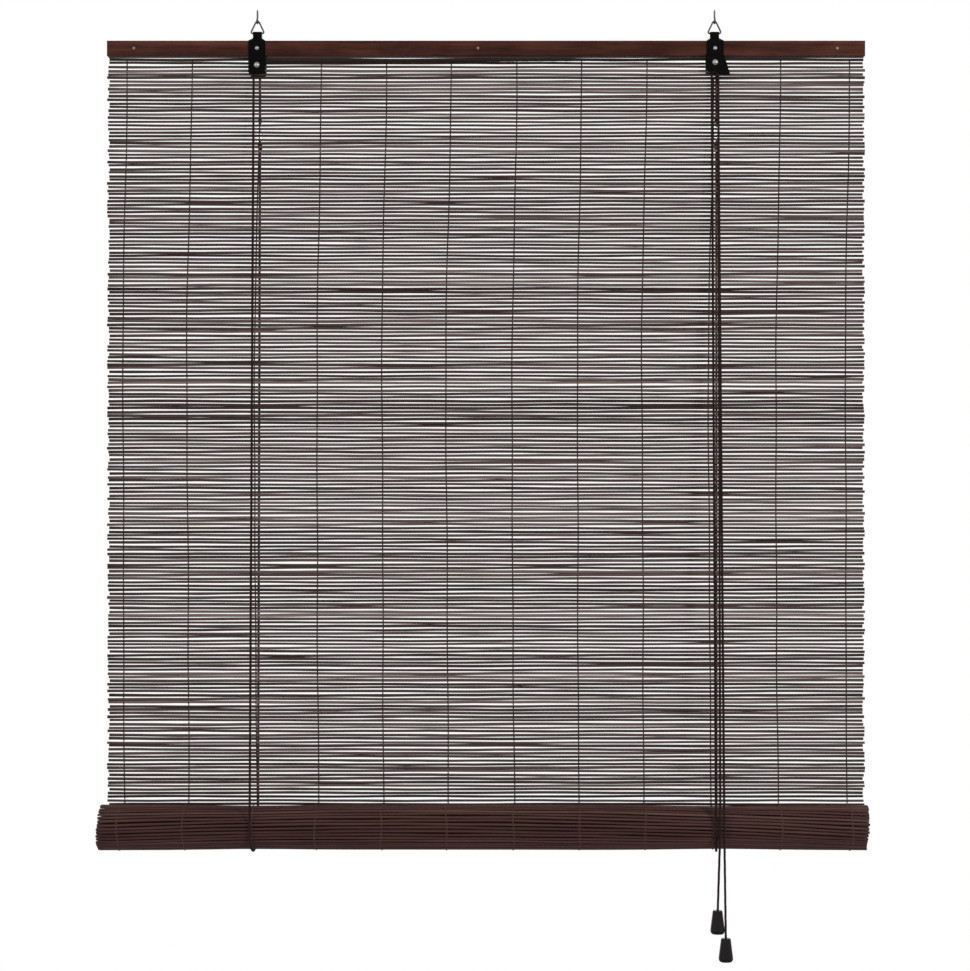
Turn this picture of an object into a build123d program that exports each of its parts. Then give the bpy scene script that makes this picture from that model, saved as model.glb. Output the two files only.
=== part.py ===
from build123d import *
from math import acos, asin, atan2, cos, degrees, floor, hypot, pi, radians, sin, sqrt, tan
import os

# Bamboo roll-up blind on two screw hooks, partly rolled up. Millimetres.
# X runs to the right, Y to the back and Z up. The origin is on the ceiling, midway between the hooks.

os.makedirs("parts", exist_ok=True)

# Screw hooks and the triangular rings that hang in them
hook_spacing = 544.0
wire_dia = 2.0
thread_length = 9.2
thread_point = 2.4
point_dia = 0.3
hook_bowl_radius = 2.9
hook_neck_radius = 1.6
hook_bowl_depth = 7.4
hook_open_turn = 232.0
hook_tip_length = 1.2
hook_twist = 20.0
hang_gap = 0.1
ring_height = 14.1
ring_half_width = 8.4
ring_apex_radius = 2.6
ring_foot_radius = 1.8

# Folded steel straps that carry the rail
sheet = 1.0
bar_gap = 0.1
sheet_gap = 0.05
neck_width = 10.6
neck_length = 6.0
shoulder_drop = 4.0
strap_width = 20.0
strap_step = 1.45
strap_step_length = 2.1
bracket_bottom_drop = 22.1
bracket_corner_radius = 3.0
lock_corner_radius = 0.4

# Head rail battens
rail_width = 900.0
rail_drop = 9.9
rail_height = 18.1
batten_thickness = 7.0
batten_edge = 1.0

# Rivets and nails
rivet_dia = 2.5
rivet_gap = 0.05
fixing_rivet_drop = 9.1
fixing_head_dia = 5.0
fixing_head_height = 1.3
axle_head_dia = 7.0
axle_head_height = 1.8
left_axle_drop = 11.1
right_axle_drop = 7.9
nail_places = (-418.0, -9.5, 417.0)
nail_head_dia = 3.5
nail_head_height = 0.8
nail_shank_dia = 1.4
nail_length = 12.0

# Pulleys
cord_dia = 2.5
pulley_cord_radius = 3.8
pulley_groove_gap = 0.2
pulley_side_gap = 0.15
pulley_flange = 0.5
pulley_flange_radius = 5.4
pulley_plate_gap = 0.1
pulley_rim_slope = 0.15
pulley_hub_dia = 5.6
pulley_mat_gap = 1.3

# Lock housing plate, measured from the right axle, and the cam in it
lock_lip_width = 1.5
lock_lip_top = 10.8
lock_left_bottom = -9.2
lock_bottom = -11.7
lock_chamfer_width = 3.5
lock_flare_top = 10.3
lock_skirt_reach = 17.9
lock_skirt_bottom = -15.3
lock_lobe_inner = 5.2
lock_lobe_corner = 2.7
cheek_end_gap = 1.2
cheek_margin = 3.0
jaw_gap = 0.15
jaw_top = -5.7
jaw_bottom = -12.2
jaw_sheet = 1.0
cam_radius = 2.2
cam_offset = 1.0
cam_offset_angle = 235.0
cam_drop = 9.4
cam_gap = 0.15
cam_plate_gap = 0.2
cam_width = 6.7
cam_tooth_depth = 0.3
cam_tooth_count = 5
cam_tooth_step = 17.0
cam_pin_dia = 1.2
cam_pin_head_dia = 1.9
cam_pin_head = 0.4

# Mat, its sticks and its strings
stick_dia = 2.2
stick_height = 2.6
stick_pitch = 4.32
web_thickness = 0.6
slot_trim = 0.1
mat_side_margin = 3.0
mat_drop = 930.4
mat_roll_gap = 0.3
axle_hole_gap = 0.3
string_places = (-427.0, -350.0, -273.0, -196.0, -120.0, -43.0, 34.5, 112.0, 189.0, 267.5, 349.0, 433.0)
string_width = 0.9
string_thickness = 0.25
string_end_gap = 1.5

# Roll at the foot of the mat
roll_radius = 27.7
roll_layer_pitch = 3.7
roll_turns = 4.1
roll_valley = 0.5
bottom_batten_thickness = 8.0
bottom_batten_edge = 1.5
bottom_batten_gap = 0.3

# Cords, their knots and the breakaway clips
sling_gap = 0.3
cord_joint_gap = 0.15
knot_dia = 4.8
knot_height = 7.0
clip_width = 6.5
clip_depth = 5.0
clip_height = 22.5
clip_edge = 1.2
clip_drop = 78.6
clip_mat_gap = 0.3
clip_top_edge = 0.8
knot_gap = 0.3
clip_tongue_width = 3.4
clip_tongue_depth = 1.6
clip_tongue_length = 5.0
clip_gap = 0.1
cord_hole_gap = 0.1
cord_tail = 4.0
anchor_gap = 0.1
anchor_wrap_turn = 255.0
left_back_cord_x = -271.7
pull_cord_gap = 0.15
pull_cord_bend_rise = 28.0
pull_cord_x = (272.9, 277.6)

# Bells on the pull cords
bell_height = 27.2
bell_top_radius = 5.7
bell_bottom_radius = 8.4
bell_wall = 1.7
bell_crown = 4.0
bell_rim_rise = 4.5
bell_hole_gap = 0.3
bell_flute_count = 10
bell_flute_dia = 2.4
bell_flute_depth = 0.45
bell_x = (270.0, 279.3)
bell_y = (-56.3, -60.0)
bell_top_z = (-1053.0, -1084.8)
bell_knot_dia = 5.2

# Places worked out from the sizes above
wire_radius = wire_dia / 2
cord_radius = cord_dia / 2
rivet_radius = rivet_dia / 2
stick_radius = stick_dia / 2
bowl_centre_z = hook_bowl_radius - hook_bowl_depth
ring_top_z = -hook_bowl_depth + wire_dia + hang_gap
bar_z = ring_top_z - ring_height
rail_top_z = bar_z - rail_drop
rail_bottom_z = rail_top_z - rail_height
batten_inner = stick_radius
batten_outer = batten_inner + batten_thickness
strap_inner = batten_outer + sheet_gap
strap_outer = strap_inner + sheet
plate_inner = strap_inner + strap_step
plate_outer = plate_inner + sheet
left_axle_z = rail_bottom_z - left_axle_drop
right_axle_z = rail_bottom_z - right_axle_drop
fixing_z = rail_top_z - fixing_rivet_drop
bracket_bottom_z = rail_bottom_z - bracket_bottom_drop
left_x = -hook_spacing / 2
right_x = hook_spacing / 2
groove_width = cord_dia + 2 * pulley_side_gap
pulley_front_y = -(plate_inner - pulley_plate_gap)
groove_1_y = pulley_front_y + pulley_flange + groove_width / 2
groove_2_y = groove_1_y + groove_width + pulley_flange
roll_y = -(roll_radius - stick_radius)
roll_z = rail_top_z - mat_drop
mat_bottom_z = roll_z + mat_roll_gap
sling_radius = roll_radius + sling_gap + cord_radius
lock_x = right_x + pulley_cord_radius
lock_z = right_axle_z + jaw_bottom
pull_y = roll_y - (sling_radius + cord_dia + pull_cord_gap)


def save(block, name):
    """Label a finished piece and write its file."""
    block.part.label = name
    export_step(block.part, "parts/" + name + ".step")


def corner_radii(points):
    """As large an arc at each corner of a cord's route as its two runs allow."""
    radii = []
    for before, corner, after in zip(points, points[1:], points[2:]):
        run_in = Vector(*corner) - Vector(*before)
        run_out = Vector(*after) - Vector(*corner)
        half_turn = radians(run_in.get_angle(run_out)) / 2
        radii.append(0.45 * min(run_in.length, run_out.length) / tan(half_turn))
    return radii


def tube(points):
    """A round cord along straight runs joined by tangent arcs."""
    with BuildPart() as cord:
        with BuildLine() as path:
            if len(points) > 2:
                FilletPolyline(*points, radius=corner_radii(points))
            else:
                Line(*points)
        with BuildSketch(Plane(origin=path.line @ 0, z_dir=path.line % 0)):
            Circle(cord_radius)
        sweep()
    return cord


# Screw hooks: a pointed threaded shank, a short neck and an open round bowl
def make_hook(side_x, twist, name):
    turn = degrees(acos(hook_neck_radius / (hook_neck_radius + hook_bowl_radius)))
    neck_z = bowl_centre_z + (hook_neck_radius + hook_bowl_radius) * sin(radians(turn))
    lean = radians(twist)
    hook_plane = Plane(origin=(side_x, 0, 0), x_dir=(sin(lean), cos(lean), 0), z_dir=(cos(lean), -sin(lean), 0))
    with BuildPart() as hook:
        with BuildLine(hook_plane):
            shank = Line((0, thread_length - thread_point), (0, neck_z))
            neck = JernArc(start=shank @ 1, tangent=shank % 1, radius=hook_neck_radius, arc_size=turn)
            bowl = JernArc(start=neck @ 1, tangent=neck % 1, radius=hook_bowl_radius, arc_size=-hook_open_turn)
            Line(bowl @ 1, bowl @ 1 + hook_tip_length * (bowl % 1))
        with BuildSketch(Plane.XY.offset(thread_length - thread_point)):
            with Locations((side_x, 0)):
                Circle(wire_radius)
        sweep()
        with Locations((side_x, 0, thread_length - thread_point / 2)):
            Cone(wire_radius, point_dia / 2, thread_point)
    save(hook, name)


make_hook(left_x, -hook_twist, "hook_left")
make_hook(right_x, hook_twist, "hook_right")


# Triangular wire rings: the apex sits in the hook's bowl, the base bar holds the strap
def make_ring(side_x, name):
    reach = hypot(ring_half_width, ring_height - ring_apex_radius)
    side_lean = atan2(ring_half_width, ring_height - ring_apex_radius) - asin(ring_apex_radius / reach)
    apex_z = bar_z + ring_half_width / tan(side_lean)
    with BuildPart() as ring:
        with BuildLine(Plane.XZ) as outline:
            FilletPolyline(
                (side_x - ring_half_width, bar_z),
                (side_x + ring_half_width, bar_z),
                (side_x, apex_z),
                radius=[ring_foot_radius, ring_foot_radius, ring_apex_radius],
                close=True,
            )
        with BuildSketch(Plane(origin=outline.line @ 0, z_dir=outline.line % 0)):
            Circle(wire_radius)
        sweep()
    save(ring, name)


make_ring(left_x, "ring_left")
make_ring(right_x, "ring_right")


# Folded strap: over the ring bar, out over the rail and down both its faces, with the rivets' holes
def fold_strap(side_x, axle_z, bottom_z, reach, outline, rounding):
    fold = wire_radius + bar_gap + sheet / 2
    leg = strap_inner + sheet / 2
    plate = plate_inner + sheet / 2
    neck_z = bar_z - neck_length
    shoulder_z = neck_z - shoulder_drop
    step_z = rail_bottom_z - strap_step_length
    with BuildPart() as strap:
        with BuildSketch(Plane.YZ.offset(side_x)):
            with BuildLine():
                Polyline(
                    (-plate, bottom_z),
                    (-plate, step_z),
                    (-leg, rail_bottom_z),
                    (-leg, shoulder_z),
                    (-fold, neck_z),
                    (-fold, bar_z),
                )
                ThreePointArc((-fold, bar_z), (0, bar_z + fold), (fold, bar_z))
                Polyline((fold, bar_z), (fold, neck_z), (leg, shoulder_z), (leg, bottom_z))
            trace(line_width=sheet)
        extrude(amount=reach, both=True)
        with BuildSketch(Plane.XZ):
            with BuildLine():
                Polyline(*outline, close=True)
            face = make_face()
            low_corners = face.vertices().filter_by(lambda corner: corner.Y < rail_bottom_z)
            fillet(low_corners, radius=rounding)
        extrude(amount=2 * plate_outer, both=True, mode=Mode.INTERSECT)
        with BuildSketch(Plane.XZ):
            with Locations((side_x, fixing_z), (side_x, axle_z)):
                Circle(rivet_radius + rivet_gap)
        extrude(amount=2 * plate_outer, both=True, mode=Mode.SUBTRACT)
    return strap


def shoulder_points(side_x):
    """The right-hand edge of the neck and shoulder, from the fold down."""
    top_z = bar_z + wire_radius + bar_gap + 2 * sheet
    neck_z = bar_z - neck_length
    return [
        (side_x + neck_width / 2, top_z),
        (side_x + neck_width / 2, neck_z),
        (side_x + strap_width / 2, neck_z - shoulder_drop),
    ]


def mirror_points(points, side_x):
    """The same edge on the left, from the bottom up."""
    return [(2 * side_x - x, z) for x, z in reversed(points)]


# Left bracket: a plain strap that carries the single pulley
left_edge = shoulder_points(left_x) + [(left_x + strap_width / 2, bracket_bottom_z)]
pulley_bracket = fold_strap(
    left_x,
    left_axle_z,
    bracket_bottom_z,
    strap_width,
    left_edge + mirror_points(left_edge, left_x),
    bracket_corner_radius,
)
save(pulley_bracket, "pulley_bracket")

# Cord lock housing: its lower front plate widens to a lip on the left and a flared skirt on the right
lip_x = right_x - strap_width / 2 - lock_lip_width
lip_z = right_axle_z + lock_lip_top
flare_z = right_axle_z + lock_flare_top
skirt_x = right_x + lock_skirt_reach
skirt_z = right_axle_z + lock_skirt_bottom
main_z = right_axle_z + lock_bottom
lobe_x = right_x + lock_lobe_inner
right_edge = shoulder_points(right_x)
lock_points = right_edge + [
    (right_x + strap_width / 2, flare_z),
    (skirt_x, skirt_z),
    (lobe_x + lock_lobe_corner, skirt_z),
    (lobe_x, skirt_z + lock_lobe_corner),
    (lobe_x, main_z),
    (lip_x + lock_chamfer_width, main_z),
    (lip_x, right_axle_z + lock_left_bottom),
    (lip_x, lip_z - lock_lip_width),
    (right_x - strap_width / 2, lip_z),
]
lock_points = lock_points + mirror_points(right_edge, right_x)
lock_strap = fold_strap(right_x, right_axle_z, skirt_z, 2 * strap_width, lock_points, lock_corner_radius)

with BuildPart() as cord_lock_housing:
    add(lock_strap.part)
    # The back leg keeps the plain strap's width and ends level with the front plate
    wing = 2 * strap_width
    with BuildSketch(Plane.XZ):
        with Locations((right_x + strap_width / 2, flare_z + sheet)):
            Rectangle(wing, wing, align=(Align.MIN, Align.MAX))
        with Locations((right_x - strap_width / 2, flare_z + sheet)):
            Rectangle(wing, wing, align=(Align.MAX, Align.MAX))
        with Locations((right_x, main_z)):
            Rectangle(wing, wing, align=(Align.CENTER, Align.MAX))
    extrude(amount=-2 * plate_outer, mode=Mode.SUBTRACT)
    # Cheek folded back from the skirt's slanted edge
    slope = (skirt_x - right_x - strap_width / 2) / (flare_z - skirt_z)
    cheek_top = flare_z - cheek_margin
    cheek_bottom = skirt_z + cheek_margin
    cheek_top_x = right_x + strap_width / 2 + slope * cheek_margin
    cheek_bottom_x = skirt_x - slope * cheek_margin
    with BuildSketch(Plane.XZ.offset(plate_inner)):
        with BuildLine():
            Polyline(
                (cheek_top_x, cheek_top),
                (cheek_bottom_x, cheek_bottom),
                (cheek_bottom_x - sheet, cheek_bottom),
                (cheek_top_x - sheet, cheek_top),
                close=True,
            )
        make_face()
    extrude(amount=-(plate_inner - batten_inner - cheek_end_gap))
    # Fixed jaw that the cords are pinched against
    with BuildSketch(Plane.XZ.offset(plate_inner)):
        with Locations((lock_x + cord_radius + jaw_gap, right_axle_z + jaw_top)):
            Rectangle(jaw_sheet, jaw_top - jaw_bottom, align=(Align.MIN, Align.MAX))
    extrude(amount=-(plate_inner - batten_inner - cheek_end_gap))
save(cord_lock_housing, "cord_lock_housing")


# Rivets: a domed head in front, a shank through both legs and a flat closing head behind
def make_rivet(side_x, height_z, front_y, head_dia, head_height, name):
    back_y = strap_outer
    rear_dia = (head_dia + rivet_dia) / 2
    rear_height = head_height / 2
    with BuildPart() as rivet:
        with BuildSketch(Plane.YZ.offset(side_x)):
            with BuildLine():
                dome = TangentArc(
                    (front_y - head_height, height_z),
                    (front_y, height_z + head_dia / 2),
                    tangent=(0, 1),
                )
                Polyline(
                    dome @ 1,
                    (front_y, height_z + rivet_radius),
                    (back_y, height_z + rivet_radius),
                    (back_y, height_z + rear_dia / 2),
                    (back_y + rear_height, height_z + rear_dia / 2 - rear_height / 2),
                    (back_y + rear_height, height_z),
                    dome @ 0,
                )
            make_face()
        revolve(axis=Axis((side_x, 0, height_z), (0, 1, 0)))
    save(rivet, name)


for side_x, axle_z, side in ((left_x, left_axle_z, "left"), (right_x, right_axle_z, "right")):
    make_rivet(side_x, fixing_z, -strap_outer, fixing_head_dia, fixing_head_height, "fixing_rivet_" + side)
    make_rivet(side_x, axle_z, -plate_outer, axle_head_dia, axle_head_height, "pulley_axle_" + side)


# Pulleys: sheet-like flanges with a deep groove for each cord, turned from one piece
def make_pulley(side_x, axle_z, grooves, hub_back_y, name):
    groove_radius = pulley_cord_radius - cord_radius - pulley_groove_gap
    bore = rivet_radius + rivet_gap
    pitch = groove_width + pulley_flange
    back_y = pulley_front_y + pulley_flange + grooves * pitch
    points = [(pulley_front_y, bore), (pulley_front_y, pulley_flange_radius)]
    for groove in range(grooves):
        front = pulley_front_y + pulley_flange + groove * pitch
        points.append((front - pulley_rim_slope, pulley_flange_radius))
        points.append((front, groove_radius))
        points.append((front + groove_width, groove_radius))
        points.append((front + groove_width + pulley_rim_slope, pulley_flange_radius))
    points.append((back_y, pulley_flange_radius))
    if hub_back_y > back_y:
        points.append((back_y, pulley_hub_dia / 2))
        points.append((hub_back_y, pulley_hub_dia / 2))
    points.append((max(hub_back_y, back_y), bore))
    with BuildPart() as pulley:
        with BuildSketch(Plane.YZ.offset(side_x)):
            with BuildLine():
                Polyline(*[(y, axle_z + r) for y, r in points], close=True)
            make_face()
        revolve(axis=Axis((side_x, 0, axle_z), (0, 1, 0)))
    save(pulley, name)


make_pulley(left_x, left_axle_z, 1, -batten_inner - pulley_mat_gap, "pulley_left")
make_pulley(right_x, right_axle_z, 2, pulley_front_y, "pulley_right")

# Lock cam: an off-centre disc with teeth towards the cords, on a pin headed at its back end
cam_x = lock_x - cord_radius - cam_gap - cam_radius
cam_z = right_axle_z - cam_drop
pivot_x = cam_x - cam_offset * cos(radians(cam_offset_angle))
pivot_z = cam_z - cam_offset * sin(radians(cam_offset_angle))
cam_front_y = -(plate_inner - cam_plate_gap)
with BuildPart() as lock_cam:
    with BuildSketch(Plane.XZ.offset(-cam_front_y)):
        with Locations((cam_x, cam_z)):
            Circle(cam_radius)
            with PolarLocations(
                cam_radius + cam_tooth_depth / 2,
                cam_tooth_count,
                start_angle=-cam_tooth_step * (cam_tooth_count - 1) / 2,
                angular_range=cam_tooth_step * (cam_tooth_count - 1),
                endpoint=True,
            ):
                Rectangle(cam_tooth_depth * 2, cam_tooth_depth * 2, rotation=45, mode=Mode.SUBTRACT)
        with Locations((pivot_x, pivot_z)):
            Circle(cam_pin_dia / 2 + rivet_gap, mode=Mode.SUBTRACT)
    extrude(amount=-cam_width)
save(lock_cam, "lock_cam")

cam_back_y = cam_front_y + cam_width
with BuildPart() as lock_cam_pin:
    with BuildSketch(Plane.XZ.offset(plate_inner)):
        with Locations((pivot_x, pivot_z)):
            Circle(cam_pin_dia / 2)
    extrude(amount=-(plate_inner + cam_back_y + rivet_gap))
    with BuildSketch(Plane.XZ.offset(-cam_back_y - rivet_gap)):
        with Locations((pivot_x, pivot_z)):
            Circle(cam_pin_head_dia / 2)
    extrude(amount=-cam_pin_head)
save(lock_cam_pin, "lock_cam_pin")


# Rail battens: two planed strips with the mat's top held between them
def make_batten(inner_y, outer_y, nail_depth, name):
    middle_y = (inner_y + outer_y) / 2
    with BuildPart() as batten:
        with Locations((0, middle_y, (rail_top_z + rail_bottom_z) / 2)):
            Box(rail_width, batten_thickness, rail_height)
        fillet(batten.edges().filter_by(Axis.X), radius=batten_edge)
        with BuildSketch(Plane.XZ):
            with Locations((left_x, fixing_z), (right_x, fixing_z)):
                Circle(rivet_radius + rivet_gap)
        extrude(amount=2 * batten_outer, both=True, mode=Mode.SUBTRACT)
        with BuildSketch(Plane.XZ.offset(batten_outer)):
            with Locations(*[(x, fixing_z) for x in nail_places]):
                Circle(nail_shank_dia / 2 + rivet_gap)
        extrude(amount=-nail_depth, mode=Mode.SUBTRACT)
    save(batten, name)


make_batten(-batten_inner, -batten_outer, nail_length + rivet_gap, "batten_front")
make_batten(batten_inner, batten_outer, nail_length + rivet_gap, "batten_back")

with BuildPart() as batten_nails:
    with BuildSketch(Plane.XZ.offset(batten_outer)):
        with Locations(*[(x, fixing_z) for x in nail_places]):
            Circle(nail_shank_dia / 2)
    extrude(amount=-nail_length)
    with BuildSketch(Plane.XZ.offset(batten_outer)):
        with Locations(*[(x, fixing_z) for x in nail_places]):
            Circle(nail_head_dia / 2)
    extrude(amount=nail_head_height)
    chamfer(batten_nails.edges().group_by(Axis.Y)[0], length=nail_head_height * 0.4)
save(batten_nails, "batten_nails")

# Mat: one ridged wall, a ridge for each stick, with every second groove cut through as a gap
stick_count = floor((rail_top_z - mat_bottom_z - stick_height) / stick_pitch) + 1
half_height = stick_height / 2
first_stick_z = mat_bottom_z + half_height + (stick_count - 1) * stick_pitch
ridge_half = half_height / 2
front_side = []
for stick in range(stick_count):
    centre_z = first_stick_z - stick * stick_pitch
    front_side.append((web_thickness / 2, centre_z + half_height))
    front_side.append((stick_radius, centre_z + ridge_half))
    front_side.append((stick_radius, centre_z - ridge_half))
    front_side.append((web_thickness / 2, centre_z - half_height))
back_side = [(-y, z) for y, z in reversed(front_side)]
slot_height = stick_pitch - stick_height - 2 * slot_trim
hanging_sticks = floor((rail_bottom_z - mat_bottom_z) / stick_pitch)
slot_count = (hanging_sticks - 1) // 2
lowest_slot_z = mat_bottom_z + half_height + 1.5 * stick_pitch
slot_middle_z = lowest_slot_z + (slot_count - 1) * stick_pitch
with BuildPart() as mat:
    with BuildSketch(Plane.YZ):
        with BuildLine():
            Polyline(*front_side, *back_side, close=True)
        make_face()
    extrude(amount=rail_width / 2, both=True)
    with BuildSketch(Plane.XZ):
        with Locations((0, slot_middle_z)):
            with GridLocations(rail_width, 2 * stick_pitch, 1, slot_count):
                Rectangle(rail_width - 2 * mat_side_margin, slot_height)
    extrude(amount=stick_dia, both=True, mode=Mode.SUBTRACT)
    with BuildSketch(Plane.XZ):
        with Locations((left_x, fixing_z), (right_x, fixing_z)):
            Circle(rivet_radius + axle_hole_gap)
        with Locations((left_x, left_axle_z), (right_x, right_axle_z)):
            Circle(rivet_radius + axle_hole_gap)
        with Locations(*[(x, fixing_z) for x in nail_places]):
            Circle(nail_shank_dia / 2 + axle_hole_gap)
    extrude(amount=stick_dia, both=True, mode=Mode.SUBTRACT)
save(mat, "mat")

# Woven strings: a thin bar down each face of the mat, which starts below a strap where it meets one
with BuildPart() as warp_strings:
    for string_x in string_places:
        behind_strap = min(abs(string_x - left_x), abs(string_x - right_x)) < strap_width
        string_top = (bracket_bottom_z if behind_strap else rail_bottom_z) - string_end_gap
        string_length = string_top - mat_bottom_z - string_end_gap
        for face_y in (-stick_radius - string_thickness / 2, stick_radius + string_thickness / 2):
            with Locations((string_x, face_y, string_top - string_length / 2)):
                Box(string_width, string_thickness, string_length)
save(warp_strings, "warp_strings")

# Rolled end of the mat: a spiral band that comes in at the back, passes under and winds inwards
turn_radius = roll_radius - stick_radius
shrink = roll_layer_pitch / (2 * pi)
roll_angle = 0.0
outer_side = []
inner_side = []
while roll_angle < roll_turns * 2 * pi:
    half_step = stick_pitch / 2 / (turn_radius - shrink * roll_angle)
    for angle, swell in ((roll_angle, stick_radius), (roll_angle + half_step, roll_valley)):
        middle = turn_radius - shrink * angle
        for side, radius in ((outer_side, middle + swell), (inner_side, middle - swell)):
            side.append((roll_y + radius * cos(angle), roll_z - radius * sin(angle)))
    roll_angle = roll_angle + 2 * half_step
with BuildPart() as mat_roll:
    with BuildSketch(Plane.YZ):
        with BuildLine():
            Polyline(*outer_side, *reversed(inner_side), close=True)
        make_face()
    extrude(amount=rail_width / 2, both=True)
save(mat_roll, "mat_roll")

# Slat in the roll's core, one corner against the mat's inner end, which it keeps straight
last_ridge = roll_angle - 2 * half_step
core_reach = turn_radius - shrink * last_ridge - stick_radius - bottom_batten_gap
half_thickness = bottom_batten_thickness / 2 - bottom_batten_edge
half_width = sqrt((core_reach - bottom_batten_edge) ** 2 - half_thickness**2)
with BuildPart() as bottom_batten:
    with BuildSketch(Plane.YZ):
        with Locations((roll_y, roll_z)):
            RectangleRounded(
                2 * (half_width + bottom_batten_edge),
                bottom_batten_thickness,
                bottom_batten_edge,
                rotation=-degrees(last_ridge) - degrees(atan2(half_thickness, half_width)),
            )
    extrude(amount=rail_width / 2, both=True)
save(bottom_batten, "bottom_batten")

# Cross cord: over the left pulley, along below the rail, over the right pulley and down to the lock
tilt = atan2(right_axle_z - left_axle_z, hook_spacing)
with BuildPart() as cross_cord:
    with BuildLine(Plane.XZ.offset(-groove_1_y)) as cross_path:
        over_left = CenterArc((left_x, left_axle_z), pulley_cord_radius, 180, -90 + degrees(tilt))
        run = Line(
            over_left @ 1,
            (right_x - pulley_cord_radius * sin(tilt), right_axle_z + pulley_cord_radius * cos(tilt)),
        )
        over_right = CenterArc((right_x, right_axle_z), pulley_cord_radius, 90 + degrees(tilt), -90 - degrees(tilt))
        Line(over_right @ 1, (lock_x, lock_z))
    with BuildSketch(Plane(origin=cross_path.line @ 0, z_dir=cross_path.line % 0)):
        Circle(cord_radius)
    sweep()
save(cross_cord, "cross_cord")

# Lift cord at the right: half a turn over the pulley's rear groove, then down to the lock
with BuildPart() as lift_cord_head:
    with BuildLine(Plane.XZ.offset(-groove_2_y)) as lift_path:
        over = CenterArc((right_x, right_axle_z), pulley_cord_radius, 180, -180)
        Line(over @ 1, (lock_x, lock_z))
    with BuildSketch(Plane(origin=lift_path.line @ 0, z_dir=lift_path.line % 0)):
        Circle(cord_radius)
    sweep()
save(lift_cord_head, "lift_cord_head")


# The lift cords' front stretches, and their slings under the roll
def make_lift_cord(front_x, axle_z, groove_y, back_x, side):
    front_y = roll_y - sling_radius
    back_y = roll_y + sling_radius
    front = tube([(front_x, groove_y, axle_z - cord_joint_gap), (front_x, front_y, roll_z + cord_joint_gap)])
    save(front, "front_cord_" + side)
    sling_plane = Plane(
        origin=((front_x + back_x) / 2, roll_y, roll_z),
        x_dir=(back_x - front_x, back_y - front_y, 0),
        z_dir=(back_y - front_y, front_x - back_x, 0),
    )
    with BuildPart() as sling:
        with BuildLine(sling_plane) as bight:
            CenterArc((0, 0), hypot(back_x - front_x, back_y - front_y) / 2, 180, 180)
        with BuildSketch(Plane(origin=bight.line @ 0, z_dir=bight.line % 0)):
            Circle(cord_radius)
        sweep()
    save(sling, "sling_" + side)


anchor_radius = rivet_radius + anchor_gap + cord_radius
right_back_cord_x = right_x + anchor_radius
make_lift_cord(left_x - pulley_cord_radius, left_axle_z, groove_1_y, left_back_cord_x, "left")
make_lift_cord(right_x - pulley_cord_radius, right_axle_z, groove_2_y, right_back_cord_x, "right")

# Behind the mat: a cord end tied round the rivet, a two-part clip, and the cord that comes up from the roll
clip_y = batten_inner + clip_mat_gap + clip_depth / 2
clip_top_z = rail_bottom_z - clip_drop
clip_middle_z = clip_top_z - clip_height / 2
clip_bottom_z = clip_top_z - clip_height


def knot_solid(x, y, z, dia, height):
    """An egg-shaped knot round an upright cord."""
    with BuildPart() as knot:
        with BuildSketch(Plane.XZ.offset(-y)):
            with Locations((x, z)):
                Ellipse(dia / 2, height / 2)
                Rectangle(dia, height, align=(Align.MAX, Align.CENTER), mode=Mode.SUBTRACT)
        revolve(axis=Axis((x, y, z), (0, 0, 1)))
    return knot


def make_anchor_cord(side_x, axle_z, side):
    hang_x = side_x + anchor_radius
    knot = knot_solid(hang_x, clip_y, clip_top_z + knot_gap + knot_height / 2, knot_dia, knot_height)
    with BuildPart() as anchor:
        with BuildLine(Plane.XZ.offset(-clip_y)) as route:
            wrap = CenterArc((side_x, axle_z), anchor_radius, anchor_wrap_turn, -anchor_wrap_turn)
            Line(wrap @ 1, (hang_x, clip_top_z - cord_tail))
        with BuildSketch(Plane(origin=route.line @ 0, z_dir=route.line % 0)):
            Circle(cord_radius)
        sweep()
        add(knot.part)
    save(anchor, "anchor_cord_" + side)
    return hang_x


def make_clip(clip_x, side):
    half = clip_height / 2
    with BuildPart() as socket:
        with Locations((clip_x, clip_y, clip_middle_z)):
            Box(clip_width, clip_depth, half, align=(Align.CENTER, Align.CENTER, Align.MIN))
        fillet(socket.edges().filter_by(Axis.Z), radius=clip_edge)
        fillet(socket.edges().group_by(Axis.Z)[-1], radius=clip_top_edge)
        with Locations((clip_x, clip_y, clip_top_z)):
            Cylinder(
                cord_radius + cord_hole_gap,
                2 * (cord_tail + cord_hole_gap),
                mode=Mode.SUBTRACT,
            )
        with Locations((clip_x, clip_y, clip_middle_z)):
            Box(
                clip_tongue_width + 2 * clip_gap,
                clip_tongue_depth + 2 * clip_gap,
                2 * (clip_tongue_length + clip_gap),
                mode=Mode.SUBTRACT,
            )
    save(socket, "clip_socket_" + side)
    with BuildPart() as plug:
        with Locations((clip_x, clip_y, clip_middle_z)):
            Box(clip_width, clip_depth, half, align=(Align.CENTER, Align.CENTER, Align.MAX))
        fillet(plug.edges().filter_by(Axis.Z), radius=clip_edge)
        fillet(plug.edges().group_by(Axis.Z)[0], radius=clip_top_edge)
        with Locations((clip_x, clip_y, clip_middle_z)):
            Box(
                clip_tongue_width,
                clip_tongue_depth,
                clip_tongue_length,
                align=(Align.CENTER, Align.CENTER, Align.MIN),
            )
        with Locations((clip_x, clip_y, clip_bottom_z)):
            Cylinder(
                cord_radius + cord_hole_gap,
                2 * (cord_tail + cord_hole_gap),
                mode=Mode.SUBTRACT,
            )
    save(plug, "clip_plug_" + side)


def make_back_cord(clip_x, back_x, side):
    knot = knot_solid(clip_x, clip_y, clip_bottom_z - knot_gap - knot_height / 2, knot_dia, knot_height)
    run = tube(
        [
            (clip_x, clip_y, clip_bottom_z + cord_tail),
            (back_x, roll_y + sling_radius, roll_z + cord_joint_gap),
        ]
    )
    with BuildPart() as back:
        add(run.part)
        add(knot.part)
    save(back, "back_cord_" + side)


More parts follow.
